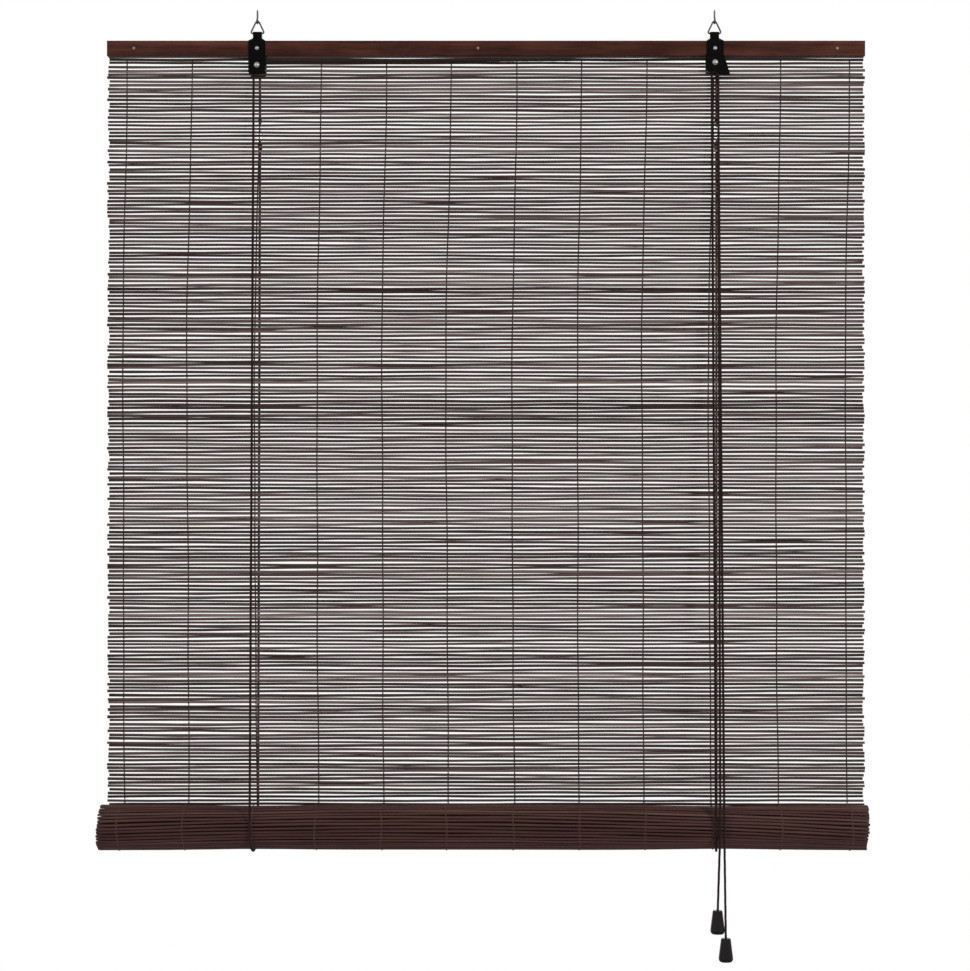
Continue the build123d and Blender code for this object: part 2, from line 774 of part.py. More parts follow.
for side_x, axle_z, back_x, side in (
    (left_x, left_axle_z, left_back_cord_x, "left"),
    (right_x, right_axle_z, right_back_cord_x, "right"),
):
    clip_x = make_anchor_cord(side_x, axle_z, side)
    make_clip(clip_x, side)
    make_back_cord(clip_x, back_x, side)


# Pull cords: straight from the lock to the roll's front, then down to their bells
def make_pull_cord(number, groove_y):
    roll_x = pull_cord_x[number]
    knot_z = bell_top_z[number] - bell_crown - knot_gap - bell_knot_dia / 2
    upper_points = [
        (lock_x, groove_y, lock_z - cord_joint_gap),
        (roll_x, pull_y, roll_z + pull_cord_bend_rise),
        (roll_x, pull_y, roll_z + cord_joint_gap),
    ]
    save(tube(upper_points), "pull_cord_%d_upper" % (number + 1))
    lower = tube([(roll_x, pull_y, roll_z - cord_joint_gap), (bell_x[number], bell_y[number], knot_z)])
    knot = knot_solid(bell_x[number], bell_y[number], knot_z, bell_knot_dia, bell_knot_dia)
    with BuildPart() as lower_cord:
        add(lower.part)
        add(knot.part)
    save(lower_cord, "pull_cord_%d_lower" % (number + 1))
    print("pull cord", number + 1, "bend radius", corner_radii(upper_points))


# Bells: fluted hollow shells, closed at the crown and open below
def make_bell(number):
    centre = (bell_x[number], bell_y[number])
    top_z = bell_top_z[number]
    rim_z = top_z - bell_height
    side_slope = (bell_bottom_radius - bell_top_radius) / (bell_height - bell_rim_rise)
    lean = degrees(atan2(side_slope, 1))
    middle_z = top_z - (bell_height - bell_rim_rise) / 2
    middle_radius = (bell_top_radius + bell_bottom_radius) / 2
    inner_top = bell_top_radius + side_slope * bell_crown - bell_wall
    inner_low = bell_bottom_radius - bell_wall
    with BuildPart() as bell:
        with BuildSketch(Plane.XZ.offset(-centre[1])):
            with BuildLine():
                crown = Polyline(
                    (centre[0] + inner_top, top_z - bell_crown),
                    (centre[0], top_z - bell_crown),
                    (centre[0], top_z),
                    (centre[0] + bell_top_radius - bell_wall / 2, top_z),
                    (centre[0] + bell_top_radius, top_z - bell_wall / 2),
                    (centre[0] + bell_bottom_radius, rim_z + bell_rim_rise),
                )
                rim = TangentArc(crown @ 1, (centre[0] + inner_low, rim_z), tangent=(side_slope, -1))
                Polyline(rim @ 1, (centre[0] + inner_low - bell_wall / 2, rim_z + bell_wall), crown @ 0)
            make_face()
        revolve(axis=Axis((centre[0], centre[1], top_z), (0, 0, 1)))
        with Locations((centre[0], centre[1], top_z)):
            Cylinder(cord_radius + bell_hole_gap, 2 * bell_crown + bell_hole_gap, mode=Mode.SUBTRACT)
        with Locations((centre[0], centre[1], middle_z)):
            with PolarLocations(middle_radius + bell_flute_dia / 2 - bell_flute_depth, bell_flute_count):
                Cylinder(
                    bell_flute_dia / 2,
                    bell_height - bell_rim_rise - 2 * bell_wall,
                    rotation=(0, -lean, 0),
                    mode=Mode.SUBTRACT,
                )
    save(bell, "bell_%d" % (number + 1))


for number, groove_y in enumerate((groove_1_y, groove_2_y)):
    make_pull_cord(number, groove_y)
    make_bell(number)
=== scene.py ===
import math
import random

import bpy
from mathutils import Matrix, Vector


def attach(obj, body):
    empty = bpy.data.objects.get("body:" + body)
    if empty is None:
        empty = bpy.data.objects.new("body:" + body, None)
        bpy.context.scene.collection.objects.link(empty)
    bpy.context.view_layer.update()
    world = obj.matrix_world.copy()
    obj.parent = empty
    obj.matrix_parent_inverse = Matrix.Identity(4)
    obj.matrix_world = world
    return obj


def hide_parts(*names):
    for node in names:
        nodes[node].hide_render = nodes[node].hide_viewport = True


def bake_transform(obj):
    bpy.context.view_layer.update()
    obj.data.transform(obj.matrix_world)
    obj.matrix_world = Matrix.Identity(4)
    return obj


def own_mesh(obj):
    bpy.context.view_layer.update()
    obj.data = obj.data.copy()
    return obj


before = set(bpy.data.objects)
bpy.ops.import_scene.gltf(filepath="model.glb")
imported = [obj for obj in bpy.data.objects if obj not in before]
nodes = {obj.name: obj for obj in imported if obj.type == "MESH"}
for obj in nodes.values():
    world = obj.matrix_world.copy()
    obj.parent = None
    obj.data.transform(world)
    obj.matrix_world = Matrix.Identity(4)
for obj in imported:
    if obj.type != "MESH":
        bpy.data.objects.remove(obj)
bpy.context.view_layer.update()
scene = bpy.context.scene
scene.view_settings.view_transform = "Standard"
rng = random.Random(7)

TAU = 2 * math.pi
MM = 0.001

# Sizes in metres, repeated from the part's source
STICK_RADIUS = 1.1 * MM
STICK_HALF_HEIGHT = 1.3 * MM
STICK_PITCH = 4.32 * MM
STICK_HALF_LENGTH = 0.450
RAIL_TOP_Z = -29.3 * MM
RAIL_BOTTOM_Z = -47.4 * MM
MAT_ROLL_GAP = 0.3 * MM
ROLL_Y = -26.6 * MM
ROLL_Z = -959.7 * MM
ROLL_RADIUS = 27.7 * MM
ROLL_LAYER_PITCH = 3.7 * MM
ROLL_TURNS = 4.1
AXLE_X = 272.0 * MM
LEFT_AXLE_Z = -58.5 * MM
RIGHT_AXLE_Z = -55.3 * MM
PULLEY_CORD_RADIUS = 3.8 * MM
GROOVE_1_Y = -7.6 * MM
GROOVE_2_Y = -4.3 * MM
SLING_RADIUS = 29.25 * MM
LOCK_X = AXLE_X + PULLEY_CORD_RADIUS
LOCK_Z = -67.5 * MM
PULL_X = (272.9 * MM, 277.6 * MM)
PULL_Y = -58.5 * MM
PULL_BEND_RISE = 28.0 * MM
CLIP_Y = 3.9 * MM
CLIP_TOP_Z = -126.0 * MM
CLIP_BOTTOM_Z = -148.5 * MM
CORD_TAIL = 4.0 * MM
ANCHOR_RADIUS = 2.6 * MM
ANCHOR_WRAP_TURN = 255
LEFT_BACK_X = -271.7 * MM
BELL_X = (270.0 * MM, 279.3 * MM)
BELL_Y = (-56.3 * MM, -60.0 * MM)
BELL_TOP_Z = (-1053.0 * MM, -1084.8 * MM)
BELL_CROWN = 4.0 * MM
BELL_KNOT_DIA = 5.2 * MM
KNOT_DIA = 4.8 * MM
KNOT_HEIGHT = 7.0 * MM
KNOT_GAP = 0.3 * MM
JOINT_GAP = 0.15 * MM
WIRE_RADIUS = 1.0 * MM

# Sizes in metres, shares and counts that only the looks need
STICK_TALLNESS = 1.50
STICK_HEIGHT_JITTER = 0.38 * MM
STICK_RAIL_CLEARANCE = 1.8 * MM
STICK_END_JITTER = (-2.2 * MM, 1.2 * MM)
STICK_RADIUS_SPREAD = (0.87, 1.13)
STICK_WAVE = 0.36 * MM
LONG_WAVE_LENGTHS = (0.25, 0.6)
SHORT_WAVE_LENGTHS = (0.08, 0.16)
STICK_TILT = 0.0006
STICK_UNEVENNESS = 0.05
STICK_KNOT_SWELL = 1.12
SHADE_MEAN = 0.46
SHADE_SPREAD = 0.17
PALE_STICK_SHARE = 0.14
PALE_STICK_STEP = 0.35
CLAMPED_STICK_INSET = 1.0 * MM
CLAMPED_STICK_SHARE = 0.94
ROLL_STICK_TALLNESS = 1.46
ROLL_STICK_OVERHANG = 1.2 * MM
ROLL_STICK_END_JITTER = 0.6 * MM
ROLL_STICK_RADIUS_SPREAD = (0.94, 1.0)
ROLL_STICK_WAVE = 0.40 * MM
ROLL_SHADE_SPREAD = 0.6
ROLL_SHIFT = -4.4 * MM
ROLL_SHIFT_WAVE = 0.6 * MM
ROLL_SEEN_TURNS = 1.15
ROLL_STRING_TURNS = 1.2
TUCK_START_TURN = 0.62
TWIST_RATE = -1.88
TWIST_FREE_X = -0.09
WAIST_DEPTH = 0.7 * MM
CORD_WAIST_DEPTH = 1.1 * MM
CORD_WAIST_REACH = 0.07
WAIST_TURNS = 2.5
LONG_STICK_POINTS = 34
HIDDEN_STICK_POINTS = 12
STRING_X = [
    x * MM for x in (-430, -353.5, -273, -199, -121.5, -45, 33.5, 111, 188, 267.5, 347.5, 430)
]
THREAD_RADIUS = 0.42 * MM
ROLL_THREAD_RADIUS = 0.50 * MM
THREAD_LIFT = 1.45 * MM
THREAD_SPREAD = 0.42 * MM
DRIFT_START = 3.3 * MM
DRIFT_STEPS = ((-5.8 * MM, 0.0, 0.40), (1.2 * MM, 0.40, 0.35), (1.5 * MM, 0.75, 0.25))
STRAP_REACH = 20.0 * MM
STRAP_BOTTOM_Z = -70.5 * MM
STRAND_RADIUS = 0.80 * MM
STRAND_OFFSET = 0.76 * MM
STRAND_LAY = 8.5 * MM
STRAND_STEPS = 8
SLING_RISE = 1.4 * MM
LOW_KNOT_DIA = 5.8 * MM
LOW_KNOT_HEIGHT = 9.0 * MM


# Mesh helpers
def make_object(name, verts, faces, tone=None):
    mesh = bpy.data.meshes.new(name)
    mesh.from_pydata(verts, [], faces)
    mesh.update()
    mesh.shade_smooth()
    if tone is not None:
        layer = mesh.attributes.new("tone", "FLOAT", "POINT")
        layer.data.foreach_set("value", tone)
    piece = bpy.data.objects.new(name, mesh)
    scene.collection.objects.link(piece)
    return piece


def dress(piece, material, node=None, body=None):
    """Gives a piece its material and slot, and where named, the node it replaces and its body."""
    piece.data.materials.append(material)
    if node:
        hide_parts(node)
    if body:
        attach(piece, body)
    return piece


def frames_along(points):
    """A direction and two crosswise directions at each point, turning as little as possible."""
    result = []
    side = None
    for i, point in enumerate(points):
        ahead = points[min(i + 1, len(points) - 1)]
        behind = points[max(i - 1, 0)]
        along = (ahead - behind).normalized()
        if side is None:
            side = Vector((0, 1, 0)) if abs(along.y) < 0.9 else Vector((1, 0, 0))
        side = (side - along * side.dot(along)).normalized()
        result.append((along, side, along.cross(side)))
    return result


def add_tube(verts, faces, points, radii, sides, phase=0.0, tall=1.0, leans=None):
    """Adds a closed tube along the points: round, or tall and leaning by an angle at each point."""
    start = len(verts)
    leans = leans or [0.0] * len(points)
    for point, (_, side, up), radius, lean in zip(points, frames_along(points), radii, leans):
        side, up = (
            side * math.cos(lean) - up * math.sin(lean),
            side * math.sin(lean) + up * math.cos(lean),
        )
        for k in range(sides):
            angle = phase + TAU * k / sides
            offset = side * math.cos(angle) + up * (tall * math.sin(angle))
            verts.append(point + offset * radius)
    for i in range(len(points) - 1):
        for k in range(sides):
            a = start + i * sides + k
            b = start + i * sides + (k + 1) % sides
            faces.append((a, b, b + sides, a + sides))
    faces.append(tuple(start + k for k in reversed(range(sides))))
    last = start + (len(points) - 1) * sides
    faces.append(tuple(last + k for k in range(sides)))
    return len(verts) - start


def resample(points, step):
    """Points a fixed distance apart along a line of points."""
    lengths = [0.0]
    for a, b in zip(points, points[1:]):
        lengths.append(lengths[-1] + (b - a).length)
    count = max(2, round(lengths[-1] / step) + 1)
    result = []
    at = 0
    for i in range(count):
        want = lengths[-1] * i / (count - 1)
        while at < len(points) - 2 and lengths[at + 1] < want:
            at += 1
        span = lengths[at + 1] - lengths[at]
        share = 0 if span == 0 else (want - lengths[at]) / span
        result.append(points[at].lerp(points[at + 1], share))
    return result


def arc_points(centre, radius, start, turn, across=(1, 0, 0), up=(0, 0, 1), count=24):
    """Points on an arc, angles in degrees from across towards up."""
    centre, across, up = Vector(centre), Vector(across), Vector(up)
    result = []
    for i in range(count + 1):
        angle = math.radians(start + turn * i / count)
        result.append(centre + (across * math.cos(angle) + up * math.sin(angle)) * radius)
    return result


def spline_points(name, points):
    """Points read from the smooth curve that has the given control points."""
    data = bpy.data.curves.new(name + "_route", "CURVE")
    data.dimensions = "3D"
    data.resolution_u = 24
    route = data.splines.new("NURBS")
    route.points.add(len(points) - 1)
    for spot, point in zip(route.points, points):
        spot.co = (*point, 1.0)
    route.order_u = 3
    route.use_endpoint_u = True
    guide = bpy.data.objects.new(name + "_route", data)
    scene.collection.objects.link(guide)
    bpy.context.view_layer.update()
    mesh = bpy.data.meshes.new_from_object(guide)
    result = [vertex.co.copy() for vertex in mesh.vertices]
    bpy.data.meshes.remove(mesh)
    bpy.data.objects.remove(guide)
    bpy.data.curves.remove(data)
    return result


# Materials, all from nodes
def node_material(name):
    material = bpy.data.materials.new(name)
    material.use_nodes = True
    tree = material.node_tree
    return material, tree, tree.nodes["Principled BSDF"]


def link_noise(tree, scale, detail=4.0, stretch=(1, 1, 1), rough=0.55):
    """A noise texture in object space, stretched along the axes."""
    place = tree.nodes.new("ShaderNodeTexCoord")
    mapping = tree.nodes.new("ShaderNodeMapping")
    mapping.inputs["Scale"].default_value = stretch
    noise = tree.nodes.new("ShaderNodeTexNoise")
    noise.inputs["Scale"].default_value = scale
    noise.inputs["Detail"].default_value = detail
    noise.inputs["Roughness"].default_value = rough
    tree.links.new(place.outputs["Object"], mapping.inputs["Vector"])
    tree.links.new(mapping.outputs["Vector"], noise.inputs["Vector"])
    return noise.outputs["Fac"]


def ramp(tree, value, stops):
    """A colour ramp on a value: stops are (place, colour)."""
    node = tree.nodes.new("ShaderNodeValToRGB")
    elements = node.color_ramp.elements
    while len(elements) < len(stops):
        elements.new(0.5)
    for element, (place, colour) in zip(elements, stops):
        element.position = place
        element.color = (*colour, 1)
    tree.links.new(value, node.inputs["Fac"])
    return node.outputs["Color"]


def add_bump(tree, shader, height, strength, distance):
    bump = tree.nodes.new("ShaderNodeBump")
    bump.inputs["Strength"].default_value = strength
    bump.inputs["Distance"].default_value = distance
    tree.links.new(height, bump.inputs["Height"])
    tree.links.new(bump.outputs["Normal"], shader.inputs["Normal"])


def set_roughness(tree, shader, value, low, high):
    """Roughness that runs from low to high with the value."""
    node = tree.nodes.new("ShaderNodeMapRange")
    node.inputs["To Min"].default_value = low
    node.inputs["To Max"].default_value = high
    tree.links.new(value, node.inputs["Value"])
    tree.links.new(node.outputs["Result"], shader.inputs["Roughness"])


def multiply(tree, share, first, second):
    """The first colour, darkened or lightened by a share of the second."""
    node = tree.nodes.new("ShaderNodeMix")
    node.data_type = "RGBA"
    node.blend_type = "MULTIPLY"
    node.inputs["Factor"].default_value = share
    tree.links.new(first, node.inputs["A"])
    tree.links.new(second, node.inputs["B"])
    return node.outputs["Result"]


def bamboo_material(name, dark, middle, light):
    """Stained bamboo: each stick has its own tone, with long streaks along it."""
    material, tree, shader = node_material(name)
    tone = tree.nodes.new("ShaderNodeAttribute")
    tone.attribute_name = "tone"
    own = ramp(tree, tone.outputs["Fac"], [(0.0, dark), (0.5, middle), (1.0, light)])
    streak = link_noise(tree, 420.0, 5.0, (0.02, 1, 1), 0.6)
    streak_stops = [(0.3, (0.42, 0.40, 0.40)), (0.55, (0.95, 0.93, 0.92)), (0.8, (1.5, 1.42, 1.36))]
    colour = multiply(tree, 0.8, own, ramp(tree, streak, streak_stops))
    blotch = link_noise(tree, 9.0, 3.0, (1, 1, 4))
    blotch_stops = [(0.3, (0.8, 0.79, 0.8)), (0.7, (1.15, 1.1, 1.08))]
    colour = multiply(tree, 0.7, colour, ramp(tree, blotch, blotch_stops))
    tree.links.new(colour, shader.inputs["Base Color"])
    set_roughness(tree, shader, streak, 0.38, 0.62)
    shader.inputs["Specular IOR Level"].default_value = 0.10
    add_bump(tree, shader, streak, 0.35, 0.0003)
    return material


def wood_material(name, dark, middle, light):
    """Stained batten wood: grain along X, with mottled stain and darker pores."""
    material, tree, shader = node_material(name)
    grain = link_noise(tree, 160.0, 8.0, (0.025, 1, 1), 0.65)
    colour = ramp(tree, grain, [(0.25, dark), (0.5, middle), (0.78, light)])
    mottle = link_noise(tree, 26.0, 5.0, (0.5, 1, 1), 0.6)
    mottle_stops = [(0.3, (0.5, 0.46, 0.46)), (0.5, (0.95, 0.92, 0.92)), (0.72, (1.45, 1.3, 1.22))]
    colour = multiply(tree, 0.85, colour, ramp(tree, mottle, mottle_stops))
    pores = link_noise(tree, 900.0, 2.0, (0.03, 1, 1), 0.5)
    pore_stops = [(0.34, (0.35, 0.32, 0.3)), (0.44, (1, 1, 1))]
    colour = multiply(tree, 0.6, colour, ramp(tree, pores, pore_stops))
    tree.links.new(colour, shader.inputs["Base Color"])
    set_roughness(tree, shader, grain, 0.34, 0.55)
    shader.inputs["Specular IOR Level"].default_value = 0.03
    add_bump(tree, shader, grain, 0.3, 0.0004)
    return material


def thread_material(name, dark, light, scale=2600.0):
    """Spun thread: fine fibres, soft sheen."""
    material, tree, shader = node_material(name)
    fibre = link_noise(tree, scale, 3.0, (1, 1, 0.35), 0.7)
    tree.links.new(ramp(tree, fibre, [(0.3, dark), (0.72, light)]), shader.inputs["Base Color"])
    shader.inputs["Roughness"].default_value = 0.82
    shader.inputs["Specular IOR Level"].default_value = 0.07
    shader.inputs["Sheen Weight"].default_value = 0.03
    shader.inputs["Sheen Roughness"].default_value = 0.5
    add_bump(tree, shader, fibre, 0.4, 0.0002)
    return material


def metal_material(name, colour, roughness):
    """Bare metal, with fine wear in its colour and its shine."""
    material, tree, shader = node_material(name)
    wear = link_noise(tree, 700.0)
    stops = [(at, [c * tint for c in colour]) for at, tint in ((0.3, 0.7), (0.5, 1.0), (0.75, 1.2))]
    tree.links.new(ramp(tree, wear, stops), shader.inputs["Base Color"])
    set_roughness(tree, shader, wear, roughness - 0.06, roughness + 0.06)
    shader.inputs["Metallic"].default_value = 1.0
    add_bump(tree, shader, wear, 0.12, 0.0002)
    return material


def plastic_material(name, colour, roughness, grain=1400.0, strength=0.12, gloss=0.16):
    """Plastic or paint, finely speckled: grain is the speckle's scale, strength its depth."""
    material, tree, shader = node_material(name)
    speckle = link_noise(tree, grain, 3.0)
    stops = [(at, [c * tint for c in colour]) for at, tint in ((0.35, 0.5), (0.7, 1.6))]
    tree.links.new(ramp(tree, speckle, stops), shader.inputs["Base Color"])
    set_roughness(tree, shader, speckle, roughness - 0.06, roughness + 0.08)
    shader.inputs["Specular IOR Level"].default_value = gloss
    add_bump(tree, shader, speckle, strength, 0.0002)
    return material


def clear_material(name):
    """Clear plastic with a slight haze."""
    material, tree, shader = node_material(name)
    haze = link_noise(tree, 500.0, 3.0)
    stops = [(0.3, (0.78, 0.8, 0.81)), (0.7, (0.93, 0.94, 0.95))]
    tree.links.new(ramp(tree, haze, stops), shader.inputs["Base Color"])
    set_roughness(tree, shader, haze, 0.1, 0.22)
    shader.inputs["Transmission Weight"].default_value = 0.85
    shader.inputs["IOR"].default_value = 1.46
    add_bump(tree, shader, haze, 0.1, 0.0002)
    return material


BAMBOO = bamboo_material(
    "bamboo_stain", (0.024, 0.015, 0.014), (0.074, 0.049, 0.046), (0.195, 0.150, 0.140)
)
ROLL_BAMBOO = bamboo_material(
    "roll_bamboo_stain", (0.034, 0.015, 0.013), (0.080, 0.038, 0.033), (0.150, 0.085, 0.074)
)
RAIL_WOOD = wood_material(
    "rail_wood", (0.026, 0.010, 0.008), (0.073, 0.026, 0.019), (0.126, 0.050, 0.037)
)
# The hanging strings take a darker copy of the roll threads' colour: painted shade on the same
# string
SHADED_STRING = thread_material("string_thread", (0.014, 0.007, 0.006), (0.050, 0.028, 0.022))
ROLL_STRING = thread_material("roll_string_thread", (0.052, 0.024, 0.018), (0.165, 0.088, 0.068))
CORD = thread_material("cord_thread", (0.009, 0.005, 0.0045), (0.040, 0.023, 0.020), 1800.0)
BLACK_STEEL = plastic_material("black_steel", (0.0026, 0.0026, 0.0030), 0.42, 420.0, 0.25, 0.025)
WIRE = metal_material("hook_wire", (0.075, 0.075, 0.080), 0.36)
# The screw threads take a lighter copy of the hook wire's metal: painted highlight for the shine
# along them
THREAD_HIGHLIGHT_METAL = metal_material("screw_thread_highlight", (0.16, 0.16, 0.165), 0.34)
RIVET = metal_material("rivet_metal", (0.30, 0.30, 0.31), 0.30)
NAIL = metal_material("nail_metal", (0.20, 0.16, 0.155), 0.42)
CAM = metal_material("cam_metal", (0.10, 0.095, 0.09), 0.40)
NYLON = plastic_material("pulley_nylon", (0.012, 0.012, 0.013), 0.45)
BELL = plastic_material("bell_plastic", (0.0095, 0.0078, 0.0076), 0.30, 900.0, 0.15, 0.12)
CLEAR = clear_material("clip_clear")

CAD_MATERIALS = {
    WIRE: ("hook_left", "hook_right", "ring_left", "ring_right"),
    BLACK_STEEL: ("pulley_bracket", "cord_lock_housing"),
    RIVET: (
        "fixing_rivet_left",
        "fixing_rivet_right",
        "pulley_axle_left",
        "pulley_axle_right",
        "lock_cam_pin",
    ),
    CAM: ("lock_cam",),
    NYLON: ("pulley_left", "pulley_right"),
    RAIL_WOOD: ("batten_front", "batten_back", "bottom_batten"),
    NAIL: ("batten_nails",),
    CLEAR: ("clip_socket_left", "clip_socket_right", "clip_plug_left", "clip_plug_right"),
    BELL: ("bell_1", "bell_2"),
}
for material, names in CAD_MATERIALS.items():
    for name in names:
        mesh = nodes[name].data
        mesh.materials.clear()
        mesh.materials.append(material)


# Sticks: slightly wavy bamboo, a little taller than deep, no two alike
def stick_line(centre, half_left, half_right, wave, count):
    """Places (x, y, z) along one stick; centre is its (y, z)."""
    phase_a = rng.uniform(0, TAU)
    phase_b = rng.uniform(0, TAU)
    length_a = rng.uniform(*LONG_WAVE_LENGTHS)
    length_b = rng.uniform(*SHORT_WAVE_LENGTHS)
    tilt = rng.uniform(-STICK_TILT, STICK_TILT)
    points = []
    for i in range(count):
        x = -half_left + (half_left + half_right) * i / (count - 1)
        rise = wave * math.sin(TAU * x / length_a + phase_a)
        rise += 0.45 * wave * math.sin(TAU * x / length_b + phase_b)
        rise += tilt * x
        out = 0.3 * wave * math.sin(TAU * x / length_a + phase_b)
        points.append((x, centre[0] + out, centre[1] + rise))
    return points


def add_stick(verts, faces, tones, points, radius, shade, sides, tall, leans=None):
    """Adds one stick of uneven thickness, with a knot somewhere along it."""
    knot_at = rng.randrange(len(points))
    radii = []
    for i in range(len(points)):
        swell = 1.0 + rng.uniform(-STICK_UNEVENNESS, STICK_UNEVENNESS)
        radii.append(radius * (STICK_KNOT_SWELL if i == knot_at else swell))
    points = [Vector(point) for point in points]
    phase = rng.uniform(0, math.pi)
    added = add_tube(verts, faces, points, radii, sides, phase, tall, leans)
    tones.extend([min(1.0, max(0.0, shade))] * added)


def stick_shade():
    """A stick's tone from 0, dark, to 1, light: one stick in seven is much lighter."""
    shade = rng.gauss(SHADE_MEAN, SHADE_SPREAD)
    if rng.random() < PALE_STICK_SHARE:
        shade += PALE_STICK_STEP
    return shade


mat_bottom_z = ROLL_Z + MAT_ROLL_GAP
stick_count = int((RAIL_TOP_Z - mat_bottom_z - 2 * STICK_HALF_HEIGHT) / STICK_PITCH) + 1
first_stick_z = mat_bottom_z + STICK_HALF_HEIGHT + (stick_count - 1) * STICK_PITCH
hanging = ([], [], [])
clamped = ([], [], [])
for stick in range(stick_count):
    z = first_stick_z - stick * STICK_PITCH
    if z > RAIL_BOTTOM_Z - STICK_HALF_HEIGHT:
        half = STICK_HALF_LENGTH - CLAMPED_STICK_INSET
        line = stick_line((0.0, z), half, half, 0.0, 4)
        radius = STICK_RADIUS * CLAMPED_STICK_SHARE
        add_stick(*clamped, line, radius, stick_shade(), 6, STICK_TALLNESS)
        continue
    z += rng.uniform(-STICK_HEIGHT_JITTER, STICK_HEIGHT_JITTER)
    z = min(z, RAIL_BOTTOM_Z - STICK_RAIL_CLEARANCE)
    left = STICK_HALF_LENGTH + rng.uniform(*STICK_END_JITTER)
    right = STICK_HALF_LENGTH + rng.uniform(*STICK_END_JITTER)
    radius = STICK_RADIUS * rng.uniform(*STICK_RADIUS_SPREAD)
    line = stick_line((0.0, z), left, right, STICK_WAVE, LONG_STICK_POINTS)
    add_stick(*hanging, line, radius, stick_shade(), 8, STICK_TALLNESS)

mat_sticks = make_object("mat_sticks", *hanging)
dress(mat_sticks, BAMBOO, "mat", "rail")
mat_top_sticks = make_object("mat_top_sticks", *clamped)
dress(mat_top_sticks, BAMBOO, "mat", "rail")


# Roll: the same sticks wound on a spiral, the outer ones with ragged ends
def spiral_radius(angle):
    """Radius of the roll's spiral: it comes in at the back, passes under and winds inwards."""
    turn = angle / TAU
    tuck = min(1.0, max(0.0, (turn - TUCK_START_TURN) / (1.0 - TUCK_START_TURN)))
    drop = tuck * tuck * (3 - 2 * tuck) if turn < 1.0 else turn
    return ROLL_RADIUS - STICK_RADIUS - ROLL_LAYER_PITCH * drop


def twist(angle, x):
    """How far a stick of the roll is turned at x: the mat is wound tighter near the cords."""
    return TWIST_RATE * (x - TWIST_FREE_X) ** 2 * min(1.0, angle / math.pi)


def waist(angle, x):
    """How far the cords draw the roll in at x."""
    near_cord = math.exp(-(((abs(x) - AXLE_X) / CORD_WAIST_REACH) ** 2))
    between = 1.0 - min(1.0, abs(x) / STICK_HALF_LENGTH) ** 4
    outer = min(1.0, max(0.0, WAIST_TURNS - angle / TAU))
    return (WAIST_DEPTH * between + CORD_WAIST_DEPTH * near_cord) * outer


def roll_point(angle, x, lift=0.0):
    """A point on the roll's spiral, or lifted off it."""
    radius = spiral_radius(angle) - waist(angle, x) + lift
    at = angle + twist(angle, x)
    return Vector((x, ROLL_Y + radius * math.cos(at), ROLL_Z - radius * math.sin(at)))


roll = ([], [], [])
roll_angles = []
angle = 0.0
while angle < ROLL_TURNS * TAU:
    roll_angles.append(angle)
    angle += STICK_PITCH / spiral_radius(angle)
for angle in roll_angles:
    front = 0.5 - 0.5 * math.cos(angle)
    shift = ROLL_SHIFT * front + ROLL_SHIFT_WAVE * math.sin(angle * 2.0)
    half = STICK_HALF_LENGTH + ROLL_STICK_OVERHANG
    left = half - shift + rng.uniform(-ROLL_STICK_END_JITTER, ROLL_STICK_END_JITTER)
    right = half + shift + rng.uniform(-ROLL_STICK_END_JITTER, ROLL_STICK_END_JITTER)
    count = LONG_STICK_POINTS if angle / TAU < ROLL_SEEN_TURNS else HIDDEN_STICK_POINTS
    line = []
    for x, out, rise in stick_line((0.0, 0.0), left, right, ROLL_STICK_WAVE, count):
        line.append(roll_point(angle + rise / ROLL_RADIUS, x, out))
    leans = [angle + twist(angle, point.x) for point in line]
    radius = STICK_RADIUS * rng.uniform(*ROLL_STICK_RADIUS_SPREAD)
    shade = 0.5 + (stick_shade() - 0.5) * ROLL_SHADE_SPREAD
    add_stick(*roll, line, radius, shade, 8, ROLL_STICK_TALLNESS, leans)
roll_sticks = make_object("roll_sticks", *roll)
dress(roll_sticks, ROLL_BAMBOO, "mat_roll", "roll")


# Warp strings: two threads that pass each stick on opposite sides
def ease(share):
    """From 0 to 1 with a slow start and end."""
    return 0.5 - 0.5 * math.cos(math.pi * min(1.0, max(0.0, share)))


def thread_drift(index, z):
    """All the strings lean the same way: left, then slowly back, with a little of their own."""
    down = (RAIL_BOTTOM_Z - z) / (RAIL_BOTTOM_Z - ROLL_Z)
    common = DRIFT_START
    for step, begin, span in DRIFT_STEPS:
        common += step * ease((down - begin) / span)
    slow = 0.4 * MM * math.sin(z * 9.0 + index * 1.7)
    quick = 0.3 * MM * math.sin(z * 31.0 + index * 2.9)
    return common + slow + quick


warp = ([], [])
for index, x in enumerate(STRING_X):
    behind_strap = abs(abs(x) - AXLE_X) < STRAP_REACH
    top_z = STRAP_BOTTOM_Z if behind_strap else RAIL_BOTTOM_Z
    for side in (-1, 1):
        points = []
        for stick in range(stick_count):
            z = first_stick_z - stick * STICK_PITCH
            if z > top_z:
                continue
            face = side if stick % 2 else -side
            drift = x + thread_drift(index, z)
            points.append(Vector((drift + face * THREAD_SPREAD * 0.4, face * THREAD_LIFT, z)))
            points.append(Vector((drift + side * THREAD_SPREAD, 0.0, z - STICK_PITCH / 2)))
        add_tube(*warp, points[:-1], [THREAD_RADIUS] * (len(points) - 1), 4)
warp_threads = make_object("warp_threads", *warp)
dress(warp_threads, SHADED_STRING, "warp_strings", "rail")

roll_warp = ([], [])
for index, x in enumerate(STRING_X):
    for side in (-1, 1):
        points = []
        for k, angle in enumerate(roll_angles):
            if angle > ROLL_STRING_TURNS * TAU:
                break
            face = side if k % 2 else -side
            for offset, lift in ((0.0, face * THREAD_LIFT), (0.5, 0.0)):
                at = angle + offset * STICK_PITCH / spiral_radius(angle)
                wander = 0.6 * MM * math.sin(at * 3.0 + index)
                wander -= 1.5 * MM * math.sin(min(at, TAU) / 2)
                points.append(roll_point(at, x + wander + side * THREAD_SPREAD, lift))
        add_tube(*roll_warp, points, [ROLL_THREAD_RADIUS] * len(points), 5)
roll_threads = make_object("roll_threads", *roll_warp)
dress(roll_threads, ROLL_STRING, body="roll")


